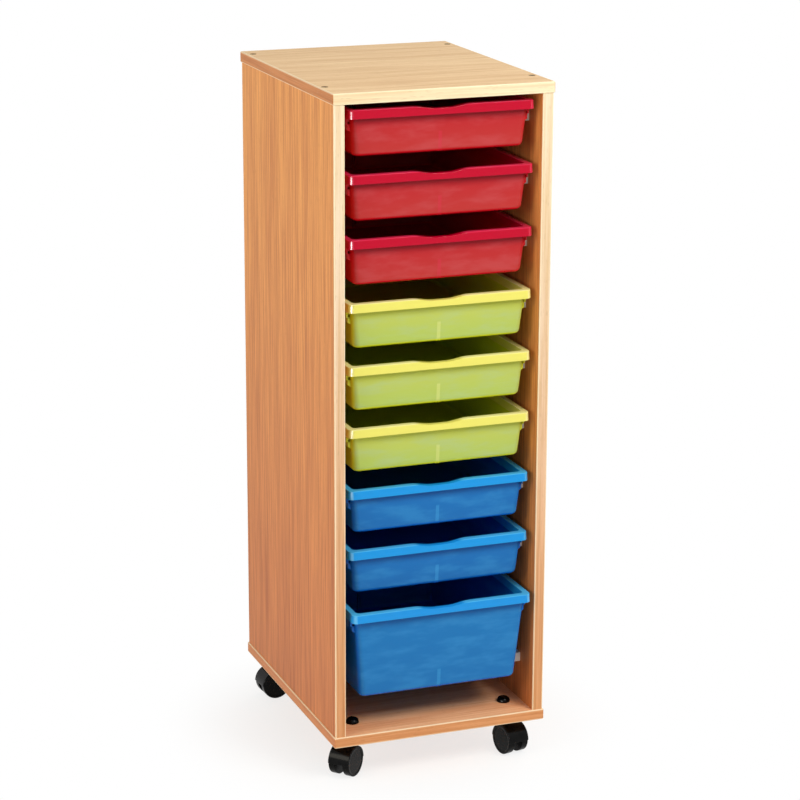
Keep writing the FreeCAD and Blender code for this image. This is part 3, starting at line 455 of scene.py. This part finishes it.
def polypropylene(name, tones, height, rim=FIRST_RIM, spacing=TRAY_PITCH):
    """Tinted translucent polypropylene for trays of one height, from the first rim down."""
    highlight_and_stripe_tone, rim_tone, painted_shade_tone, panel_tone, haze_tone, low_tone, bend_and_glow_tone = tones
    material, tree, shader = new_material(name)
    place = add_node(tree, "TexCoord", output="Object")
    across = add_node(tree, "SeparateXYZ", {0: place}, "X")
    across = add_node(tree, "Math", {0: across}, operation="ABSOLUTE")
    level = add_node(tree, "SeparateXYZ", {0: place}, "Z")
    below = add_node(tree, "Math", {0: rim + mm(0.5), 1: level}, operation="SUBTRACT")
    below = add_node(tree, "Math", {0: below, 1: spacing}, operation="MODULO")
    # The wall: its own tone, the haze, the painted shade under the lip, the stripe, and the corners and
    # the foot with their painted glow.
    wall = blend(tree, below, mm(16), height, panel_tone, low_tone)
    haze = stretched_noise(tree, place, (70, 70, 22), 3)
    wall = blend(tree, haze, 0.4, 0.7, wall, haze_tone, 0.5)
    # Painted shade: a darker tone just under the lip.
    wall = blend(tree, below, *LIP_SHADE, painted_shade_tone, wall)
    striped = add_node(tree, "Mix", {0: 0.25, 6: wall, 7: highlight_and_stripe_tone}, **IN_COLOUR)
    striped = blend(tree, across, *STRIPE_SIDE, striped, wall)
    start, full = (height - rise for rise in STRIPE_TOP)
    wall = blend(tree, below, start, full, wall, striped)
    # Painted glow: the upright corners and the foot are brighter and more saturated, on top of what the
    # thicker plastic does.
    lean = add_node(tree, "Math", {0: below, 1: DRAFT, 2: across}, operation="MULTIPLY_ADD")
    wall = blend(tree, lean, *CORNER_BEND, wall, bend_and_glow_tone, 0.75)
    start, full = (height - rise for rise in FOOT_BEND)
    wall = blend(tree, below, start, full, wall, bend_and_glow_tone)
    # The lip: its face, a painted highlight at its corners, and a painted highlight along its top edge.
    corner_highlight_and_coat = band(tree, across, *LIP_CORNER)
    painted_corner_highlight = add_node(tree, "Mix", {0: 0.7, 6: rim_tone, 7: highlight_and_stripe_tone}, **IN_COLOUR)
    lip = add_node(tree, "Mix", {0: corner_highlight_and_coat, 6: rim_tone, 7: painted_corner_highlight}, **IN_COLOUR)
    # Painted highlight: a paler tone along the lip's top edge.
    lip = blend(tree, below, *LIP_TOP, highlight_and_stripe_tone, lip)
    on_lip = band(tree, below, LIP_START, LIP_EDGE)
    polish = add_node(tree, "Math", {0: corner_highlight_and_coat, 1: on_lip}, operation="MULTIPLY")
    rough = add_node(tree, "MapRange", {0: haze, 3: 0.07, 4: 0.15})
    feed(shader, {"Base Color": blend(tree, below, *LIP_EDGE, lip, wall), "Roughness": rough,
                  "IOR": 1.49, "Specular IOR Level": 0.12, "Transmission Weight": 0.1,
                  "Coat Weight": polish, "Coat Roughness": 0.2})
    return material


print("rim of the deep tray in mm:", round(DEEP_RIM * 1000))

# %% [markdown]
# Each tray colour has seven tones, in the order of the function: the painted highlight of the lip's top
# edge and corners, which also tints the rib stripe, the lip, the painted shade under it, the panel, the
# haze, the lower panel, and the bends with their painted glow. The deep tray has a material of its own,
# because its rim and height differ, and is a shade paler than the shallow ones of its colour.

# %% Tray colours
RED = ("#E02C54", "#C0042C", "#A0061E", "#BE282E", "#C65054", "#C03634", "#DC0A1E")
YELLOW = ("#F8F4A4", "#ECE670", "#C2CC48", "#C2CE60", "#B2CA90", "#B4CA62", "#E2EA10")
BLUE = ("#4CB8F0", "#1C98E6", "#0E58AA", "#1C74C0", "#3490D0", "#1A6EB8", "#0C6CDA")
DEEP_BLUE = ("#4CB8F0", "#2096E6", "#125EAE", "#1E78BE", "#3690D0", "#1E74BA", "#0C6CDA")
# Moulded red: a crimson lip over a milky coral panel.
red_tray = polypropylene("red_polypropylene", RED, SHALLOW)
# Moulded lime yellow: a lemon lip over a panel that looks green where it is dark behind.
yellow_tray = polypropylene("yellow_polypropylene", YELLOW, SHALLOW)
# Moulded blue: a sky blue lip over a deeper panel.
blue_tray = polypropylene("blue_polypropylene", BLUE, SHALLOW)
deep_blue = polypropylene("blue_polypropylene_deep", DEEP_BLUE, DEEP, DEEP_RIM, spacing=1.0)
print("tray plastics made")

# %% [markdown]
# ## Finishes on the engineering pieces
#
# Each board, band, screw and runner of the frame keeps its exact shape and gets its finish through its
# material slots. A piece is known by the start of its name.

# %% Dress the frame
FRAME_FINISHES = {
    "top_panel": beech_top, "top_edging": band_top, "base_panel": beech_base,
    "base_edging": band_base, "side_panel": beech_side, "side_edging": band_upright,
    "back_panel": beech_back, "dowels": raw_dowel, "top_screws": black_oxide,
    "base_screws": black_oxide, "runner_screws": zinc_plate, "tray_runners": white_runner,
    "castor_caps": black_nylon, "castor_stem": zinc_plate, "castor_axle": zinc_plate,
    "castor_hood": black_nylon, "castor_wheel": black_nylon}
dressed = 0
for node_name, piece in cad_nodes.items():
    for prefix, finish in FRAME_FINISHES.items():
        if node_name.startswith(prefix):
            for holder in piece.material_slots:
                holder.material = finish
            dressed += 1
print("frame pieces dressed:", dressed)

# %% [markdown]
# ## Working by hand, in code
#
# Modelling by hand goes: select something, then apply a tool. These helpers do the selecting. Nothing
# may stay selected from before, or a tool would change that too.


# %% Selection helpers
def only(piece):
    """Leaves one piece selected and active, in object mode."""
    bpy.ops.object.select_all(action="DESELECT")
    piece.select_set(True)
    bpy.context.view_layer.objects.active = piece


def pick(piece, kind, test):
    """In edit mode, selects the vertices, edges or faces whose middle and self pass a test."""
    bpy.ops.mesh.select_all(action="DESELECT")
    bpy.ops.mesh.select_mode(type=kind)
    mesh = bmesh.from_edit_mesh(piece.data)
    chosen = 0
    for item in {"VERT": mesh.verts, "EDGE": mesh.edges, "FACE": mesh.faces}[kind]:
        if kind == "VERT":
            middle = item.co
        elif kind == "EDGE":
            middle = (item.verts[0].co + item.verts[1].co) / 2
        else:
            middle = item.calc_center_median()
        if test(middle, item):
            item.select_set(True)
            chosen += 1
    bmesh.update_edit_mesh(piece.data)
    return chosen


print("selection helpers ready")

# %% [markdown]
# A modifier is added, set and applied at once, so that every piece ends as a plain mesh. The modifier
# used most is a narrow bevel: nothing that is moulded or sawn has a perfectly sharp edge, and the
# rounded one is what catches the light.


# %% Modifier helpers
SMOOTH_ANGLE = math.radians(34)


def apply_modifier(piece, kind, **settings):
    """Adds one modifier, sets it and applies it."""
    only(piece)
    bpy.ops.object.modifier_add(type=kind)
    modifier = piece.modifiers[-1]
    for key, setting in settings.items():
        setattr(modifier, key, setting)
    bpy.ops.object.modifier_apply(modifier=modifier.name)


def soften(piece, width, segments=2, angle=30):
    """Rounds every edge sharper than the angle, and keeps the large faces flat in their shading."""
    apply_modifier(piece, "BEVEL", width=width, segments=segments, limit_method="ANGLE",
                   angle_limit=math.radians(angle))
    bpy.ops.object.shade_smooth_by_angle(angle=SMOOTH_ANGLE)
    apply_modifier(piece, "WEIGHTED_NORMAL", keep_sharp=True)


print("modifier helpers ready")

# %% [markdown]
# A finished piece needs a finish, the moving body that it rides on, and the names of the frame's pieces
# that it stands for.


# %% Dressing a piece
def dress(piece, finish, body, slot, *stands_for):
    """Gives a finished piece its finish, its moving body and the nodes it stands for. The slot is not
    used.
    """
    piece.data.materials.clear()
    piece.data.materials.append(finish)
    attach(piece, body)
    if stands_for:
        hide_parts(*stands_for)


print("dressing helper ready")

# %% [markdown]
# ## A moulded tray
#
# A moulded tray has the same 2 mm wall everywhere, which is what lets it cool evenly. So it is modelled
# as a sheet that gets its thickness at the end. The sheet starts as the floor, a rectangle with rounded
# corners. Its border is then drawn up ring by ring: up the sloping wall to the lip, straight up behind
# the lip, out under the rim and down inside the lip. Each ring is held as its distance in from the
# rim's outline at the sides and at the ends, its drop below the rim and the radius of its corners.

# %% Rings of the tray
TRAY_WIDTH, TRAY_DEPTH, WALL = mm(312, 427, 2)
SIDE_INSET, END_INSET, LIP_DROP = mm(8.5, 9.5, 14.5)
RIM_INSET, FOOT_RADIUS, WALL_RADIUS, RIM_RADIUS, LIP_RADIUS = mm(2.9, 12, 9, 7.1, 8)


def tray_rings(height):
    """From the floor to the edge of the lip: (side inset, end inset, drop, corner radius)."""
    spread = (height - LIP_DROP) * DRAFT
    return [(SIDE_INSET + spread, END_INSET + spread, height, FOOT_RADIUS),
            (SIDE_INSET, END_INSET, LIP_DROP, WALL_RADIUS),
            (SIDE_INSET, END_INSET, WALL, WALL_RADIUS),
            (RIM_INSET, RIM_INSET, WALL, RIM_RADIUS),
            (WALL, WALL, LIP_DROP, LIP_RADIUS)]


print("rings of a shallow tray:", len(tray_rings(SHALLOW)))

# %% [markdown]
# Drawing the sheet up takes two steps a ring. The border is extruded where it stands, and then each of
# its four corners is scaled about the middle of its own arc, so that the radius changes, and moved to
# the next ring's corner. The straight sides follow by themselves.


# %% Sheet of the tray
def corner_middle(ring, x_side, y_side):
    """The middle of the arc at one corner of a ring."""
    side_inset, end_inset, drop, radius = ring
    return Vector((x_side * (TRAY_WIDTH / 2 - side_inset - radius),
                   y_side * (TRAY_DEPTH / 2 - end_inset - radius), -drop))


def tray_sheet(name, height):
    """The thin outer skin of a tray, with its rim at z = 0 and its middle at the origin."""
    rings = tray_rings(height)
    side_inset, end_inset, drop, radius = rings[0]
    bpy.ops.object.select_all(action="DESELECT")
    bpy.ops.mesh.primitive_plane_add(size=1, location=(0, 0, 0))
    sheet = bpy.context.object
    sheet.name = name
    bpy.ops.object.mode_set(mode="EDIT")
    bpy.ops.transform.translate(value=(0, 0, -drop))
    bpy.ops.transform.resize(value=(TRAY_WIDTH - 2 * side_inset, TRAY_DEPTH - 2 * end_inset, 1),
                             center_override=(0, 0, 0))
    bpy.ops.mesh.bevel(offset=radius, segments=8, affect="VERTICES")
    for ring, next_ring in zip(rings, rings[1:]):
        pick(sheet, "EDGE", lambda middle, edge: edge.is_boundary)
        bpy.ops.mesh.extrude_edges_move()
        for x_side, y_side in ((1, 1), (-1, 1), (-1, -1), (1, -1)):
            pick(sheet, "VERT", lambda middle, vertex: vertex.is_boundary
                 and middle.x * x_side > 0 and middle.y * y_side > 0)
            before, after = corner_middle(ring, x_side, y_side), corner_middle(next_ring, x_side, y_side)
            growth = next_ring[3] / ring[3]
            bpy.ops.transform.resize(value=(growth, growth, 1), center_override=before)
            bpy.ops.transform.translate(value=after - before)
    return sheet


print("wall thickness in mm:", round(WALL * 1000, 1))

# %% [markdown]
# The foot is rounded with a wide bevel where the floor meets the wall. The finger scoop is a shallow
# dip in the front rim. The sheet is first cut across at even steps, so there are points to move, and
# each row of points is then lowered along a smooth S-shaped curve.

# %% Foot and finger scoop
SCOOP_FLAT, SCOOP_END, SCOOP_DIP = mm(12, 49, 4.4)
SCOOP_STEPS = 8
LIP_DEPTH, RIM_REACH, FOOT_ROUND = mm(12, 2.1, 7)


def scoop_drop(distance):
    """How far the rim is lowered at a distance from the middle."""
    along = min(max((SCOOP_END - abs(distance)) / (SCOOP_END - SCOOP_FLAT), 0), 1)
    return SCOOP_DIP * along * along * (3 - 2 * along)


def round_foot(sheet, height):
    """A wide bevel where the floor meets the walls."""
    pick(sheet, "EDGE", lambda middle, edge: abs(middle.z + height) < mm(0.01))
    bpy.ops.mesh.bevel(offset=FOOT_ROUND, segments=5, affect="EDGES")


def cut_scoop(sheet):
    """Cuts rows across the front, then lowers each row of the rim."""
    steps = [0] + [SCOOP_FLAT + (SCOOP_END - SCOOP_FLAT) * part / SCOOP_STEPS
                   for part in range(SCOOP_STEPS + 1)]
    rows = sorted({round(side * step, 6) for side in (-1, 1) for step in steps})
    for row in rows:
        bpy.ops.mesh.select_all(action="SELECT")
        bpy.ops.mesh.bisect(plane_co=(row, 0, 0), plane_no=(1, 0, 0))
    for row in rows:
        if pick(sheet, "VERT", lambda middle, vertex: abs(middle.x - row) < mm(0.05)
                and middle.y < LIP_DEPTH - TRAY_DEPTH / 2 and middle.z > -RIM_REACH):
            bpy.ops.transform.translate(value=(0, 0, -scoop_drop(row)))


print("scoop depth at the middle in mm:", round(scoop_drop(0) * 1000, 2))

# %% [markdown]
# Two thin upright ribs stand in the middle of the front and rear walls, a divider's width apart. They
# show through the wall as a pale stripe. Each is a small block whose outer side leans with the wall.


# %% Divider ribs
RIB_APART, RIB_HALF, RIB_REACH, RIB_TOP, RIB_LEAN, RIB_EDGE = mm(2.25, 0.75, 4, 32, 1.2, 0.3)


def block(low, high):
    """A block between two corners, in edit mode."""
    bpy.ops.object.select_all(action="DESELECT")
    bpy.ops.mesh.primitive_cube_add(size=1, location=(0, 0, 0))
    bpy.ops.object.mode_set(mode="EDIT")
    bpy.ops.transform.resize(value=Vector(high) - Vector(low), center_override=(0, 0, 0))
    bpy.ops.transform.translate(value=(Vector(high) + Vector(low)) / 2)
    return bpy.context.object


def divider_ribs(height):
    """Four small ribs inside the front and rear walls."""
    wall_y = TRAY_DEPTH / 2 - tray_rings(height)[0][1] - WALL / 2
    ribs = []
    for side in (-1, 1):
        for x_place in (-RIB_APART, RIB_APART):
            ends = sorted((side * wall_y, side * (wall_y - RIB_REACH)))
            rib = block((x_place - RIB_HALF, ends[0], WALL / 2 - height),
                        (x_place + RIB_HALF, ends[1], RIB_TOP - height))
            pick(rib, "FACE", lambda middle, face: face.normal.z > 0.9)
            bpy.ops.transform.translate(value=(0, side * RIB_LEAN, 0))
            pick(rib, "EDGE", lambda middle, edge: abs(edge.verts[0].co.z - edge.verts[1].co.z) > mm(20))
            bpy.ops.mesh.bevel(offset=RIB_EDGE, segments=2, affect="EDGES")
            bpy.ops.object.mode_set(mode="OBJECT")
            ribs.append(rib)
    return ribs


print("ribs of a divider slot, apart in mm:", round(2 * RIB_APART * 1000, 1))

# %% [markdown]
# A stepped rail runs along each side under the lip. Its upper bar is the thicker one. The lower bar is
# thinner, and its underside slopes back to the wall, so that the tray finds its runner by itself. The
# tray rides on the step between the two.

# %% Side rails
RAIL_SETBACK, RAIL_EDGE = mm(21, 0.5)
UPPER_BAR = (146.3, 153.5, 2, 25, 0)
LOWER_BAR = (145.2, 150.7, 20, 33, 4)


def side_rails():
    """The stepped rail under the lip on both sides."""
    half_length = TRAY_DEPTH / 2 - RAIL_SETBACK
    bars = []
    for side in (-1, 1):
        for inner, outer, top, foot, slope in (UPPER_BAR, LOWER_BAR):
            edges = sorted((side * mm(inner), side * mm(outer)))
            bar = block((edges[0], -half_length, -mm(foot)), (edges[1], half_length, -mm(top)))
            pick(bar, "EDGE", lambda middle, edge: middle.z < -mm(foot - 1)
                 and abs(middle.x) < mm(inner + 1))
            bpy.ops.transform.translate(value=(0, 0, -mm(slope)))
            bpy.ops.object.mode_set(mode="OBJECT")
            soften(bar, RAIL_EDGE)
            bars.append(bar)
    return bars


print("length of a rail in mm:", round((TRAY_DEPTH - 2 * RAIL_SETBACK) * 1000))

# %% [markdown]
# The tray is put together in the order in which it would be drawn: the sheet, its foot and its scoop.
# Doubled points are merged and the faces turned outwards before the wall gets its thickness, because
# afterwards the inner wall would turn round too. The ribs and rails are joined to it last.


# %% Whole trays
TRAY_EDGE = mm(0.7)


def moulded_tray(name, height):
    """A whole tray: the sheet, its scoop and foot, then the wall thickness, soft edges and ribs."""
    tray = tray_sheet(name, height)
    round_foot(tray, height)
    cut_scoop(tray)
    bpy.ops.mesh.select_all(action="SELECT")
    bpy.ops.mesh.remove_doubles(threshold=mm(0.005))
    pick(tray, "FACE", lambda middle, face: True)
    bpy.ops.mesh.normals_make_consistent(inside=False)
    mesh = bmesh.from_edit_mesh(tray.data)
    floor_face = min(mesh.faces, key=lambda face: face.calc_center_median().z)
    if floor_face.normal.z > 0:
        bpy.ops.mesh.flip_normals()
    bpy.ops.object.mode_set(mode="OBJECT")
    apply_modifier(tray, "SOLIDIFY", thickness=WALL, offset=-1, use_even_offset=True)
    soften(tray, TRAY_EDGE)
    details = divider_ribs(height) + side_rails()
    only(tray)
    for detail in details:
        detail.select_set(True)
    bpy.ops.object.join()
    return tray


shallow_master = moulded_tray("shallow_tray_master", SHALLOW)
deep_master = moulded_tray("deep_tray_master", DEEP)
print("faces of a shallow tray:", len(shallow_master.data.polygons))

# %% [markdown]
# The trays are copies of two masters. Every copy gets its own mesh, and the mesh itself is moved to its
# level, so that the object stays at the origin. The frame says where each tray stands: its box gives
# the middle and the height of the rim.


# %% Trays in their places
def placed_copy(master, name, matrix):
    """A copy with its own mesh, moved by a matrix inside the mesh."""
    twin = master.copy()
    twin.data = master.data.copy()
    twin.name = name
    bpy.context.scene.collection.objects.link(twin)
    twin.data.transform(matrix)
    return twin


TRAY_SLOTS = ["tray_red"] * 3 + ["tray_yellow"] * 3 + ["tray_blue"] * 2
TRAY_FINISH = {"tray_red": red_tray, "tray_yellow": yellow_tray, "tray_blue": blue_tray}
for number, slot_name in enumerate(TRAY_SLOTS, start=1):
    node_name = "shallow_tray_%d" % number
    low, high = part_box(node_name)
    spot = Vector((0, (low.y + high.y) / 2, high.z))
    tray = placed_copy(shallow_master, "moulded_%s" % node_name, Matrix.Translation(spot))
    dress(tray, TRAY_FINISH[slot_name], node_name + "_body", slot_name, node_name)
low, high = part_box("deep_tray")
spot = Vector((0, (low.y + high.y) / 2, high.z))
tray = placed_copy(deep_master, "moulded_deep_tray", Matrix.Translation(spot))
dress(tray, deep_blue, "deep_tray_body", "tray_blue", "deep_tray")
for master in (shallow_master, deep_master):
    bpy.data.objects.remove(master)
print("trays placed:", len(TRAY_SLOTS) + 1)

# %% [markdown]
# ## Castor hood
#
# A twin-wheel furniture castor has a half-round moulded hood over two wheels, a web between the wheels
# that holds the axle, and a round column with the swivel pin on one side. The hood starts as a cylinder
# that is cut in half; its end discs are taken away and the remaining shell gets a wall. The web and the
# column are cylinders of their own, cut and rounded, then joined to it.

# %% Half cylinders
HOOD_RADIUS, HOOD_WALL, WHEEL_FACE = mm(26.5, 1.2, 19)


def lying_cylinder(radius, width, corners=72):
    """A cylinder whose axis lies along y through the origin."""
    bpy.ops.object.select_all(action="DESELECT")
    bpy.ops.mesh.primitive_cylinder_add(vertices=corners, radius=radius, depth=width, location=(0, 0, 0),
                                        rotation=(math.pi / 2, 0, 0))
    bpy.ops.object.transform_apply(location=False, rotation=True, scale=False)
    return bpy.context.object


def keep_upper_half(piece, fill):
    """Cuts a piece at the axle and drops the lower part."""
    bpy.ops.object.mode_set(mode="EDIT")
    bpy.ops.mesh.select_all(action="SELECT")
    bpy.ops.mesh.bisect(plane_co=(0, 0, 0), plane_no=(0, 0, 1), clear_inner=True, use_fill=fill)
    bpy.ops.object.mode_set(mode="OBJECT")


print("hood across in mm:", round(2 * WHEEL_FACE * 1000))

# %% [markdown]
# The web stops just inside the hood's wall, so that the two are one moulding. The column stands a trail
# behind the axle, which is what makes a castor turn into the direction of travel.

# %% Hood
WEB_RADIUS, WEB_WIDTH, BOSS_RADIUS = mm(25.6, 13, 8)
TRAIL, COLUMN_RADIUS, COLUMN_HEIGHT = mm(22, 10, 37.1)
SHELL_EDGE, WEB_EDGE, COLUMN_EDGE = mm(0.45, 0.5, 0.9)


def castor_hood_master():
    """The hood with its web, axle boss and column, and the axle through the origin."""
    shell = lying_cylinder(HOOD_RADIUS, 2 * WHEEL_FACE)
    keep_upper_half(shell, False)
    bpy.ops.object.mode_set(mode="EDIT")
    pick(shell, "FACE", lambda middle, face: abs(face.normal.y) > 0.9)
    bpy.ops.mesh.delete(type="FACE")
    bpy.ops.object.mode_set(mode="OBJECT")
    apply_modifier(shell, "SOLIDIFY", thickness=HOOD_WALL, offset=-1, use_even_offset=True)
    soften(shell, SHELL_EDGE, 3)
    web = lying_cylinder(WEB_RADIUS, WEB_WIDTH)
    keep_upper_half(web, True)
    soften(web, WEB_EDGE)
    boss = lying_cylinder(BOSS_RADIUS, WEB_WIDTH, 40)
    soften(boss, WEB_EDGE)
    bpy.ops.object.select_all(action="DESELECT")
    bpy.ops.mesh.primitive_cylinder_add(vertices=48, radius=COLUMN_RADIUS, depth=COLUMN_HEIGHT,
                                        location=(0, 0, 0))
    column = bpy.context.object
    bpy.ops.object.mode_set(mode="EDIT")
    bpy.ops.transform.translate(value=(-TRAIL, 0, COLUMN_HEIGHT / 2))
    bpy.ops.object.mode_set(mode="OBJECT")
    soften(column, COLUMN_EDGE, 3)
    only(shell)
    for part in (web, boss, column):
        part.select_set(True)
    bpy.ops.object.join()
    return shell


hood_master = castor_hood_master()
print("hood faces:", len(hood_master.data.polygons))

# %% [markdown]
# ## Castor wheel
#
# Each wheel is a turned disc with a rounded tread. Its outer face has a narrow raised border and a very
# shallow dish. The disc is a cylinder. Its outer face is inset for the border, inset again and pushed in
# for the dish, and inset a last time and raised a little for the hub.


# %% Wheel
WHEEL_RADIUS, WHEEL_WIDTH, WHEEL_MIDDLE, TREAD_EDGE = mm(25, 12, 13, 1.1)
BORDER, DISH_SLOPE, DISH_DROP, HUB_INSET, HUB_RISE = mm(3.4, 1.2, 0.7, 11, 0.3)


def castor_wheel_master(side):
    """One wheel on the left (1) or right (-1) of the web, with the axle through the origin."""
    wheel = lying_cylinder(WHEEL_RADIUS, WHEEL_WIDTH, 80)
    bpy.ops.object.mode_set(mode="EDIT")
    bpy.ops.mesh.select_all(action="SELECT")
    bpy.ops.transform.translate(value=(0, side * WHEEL_MIDDLE, 0))
    pick(wheel, "FACE", lambda middle, face: face.normal.y * side > 0.9)
    bpy.ops.mesh.inset(thickness=BORDER, depth=0)
    bpy.ops.mesh.inset(thickness=DISH_SLOPE, depth=-DISH_DROP)
    bpy.ops.mesh.inset(thickness=HUB_INSET, depth=HUB_RISE)
    bpy.ops.object.mode_set(mode="OBJECT")
    soften(wheel, TREAD_EDGE, 3, 28)
    return wheel


wheel_masters = {"left": castor_wheel_master(1), "right": castor_wheel_master(-1)}
print("wheel faces:", len(wheel_masters["left"].data.polygons))

# %% [markdown]
# The castors swivel freely, so each stands at its own angle. The master hood has its axle through the
# origin and its pin to one side. It is moved so that the pin is the centre, turned, and then moved
# under its own corner.

# %% Castors in their places
SWIVEL_ANGLES = {"front_left": 221, "front_right": 282, "rear_left": 184, "rear_right": 250}
PIN_X, PIN_Y, CARCASS_Y, AXLE_HEIGHT = mm(135, 179, 4, 25)
for corner, angle in SWIVEL_ANGLES.items():
    x_side = -1 if "left" in corner else 1
    y_side = -1 if "front" in corner else 1
    matrix = (Matrix.Translation((x_side * PIN_X, CARCASS_Y + y_side * PIN_Y, AXLE_HEIGHT))
              @ Matrix.Rotation(math.radians(angle), 4, "Z") @ Matrix.Translation((TRAIL, 0, 0)))
    hood = placed_copy(hood_master, "moulded_hood_" + corner, matrix)
    dress(hood, black_nylon, "castor_" + corner, "castor_black", "castor_hood_" + corner)
    for side, master in wheel_masters.items():
        wheel = placed_copy(master, "moulded_wheel_%s_%s" % (side, corner), matrix)
        dress(wheel, black_tread, "wheel_%s_%s" % (side, corner), "wheel_black",
              "castor_wheel_%s_%s" % (side, corner))
for master in [hood_master, *wheel_masters.values()]:
    bpy.data.objects.remove(master)
print("castors placed:", len(SWIVEL_ANGLES))
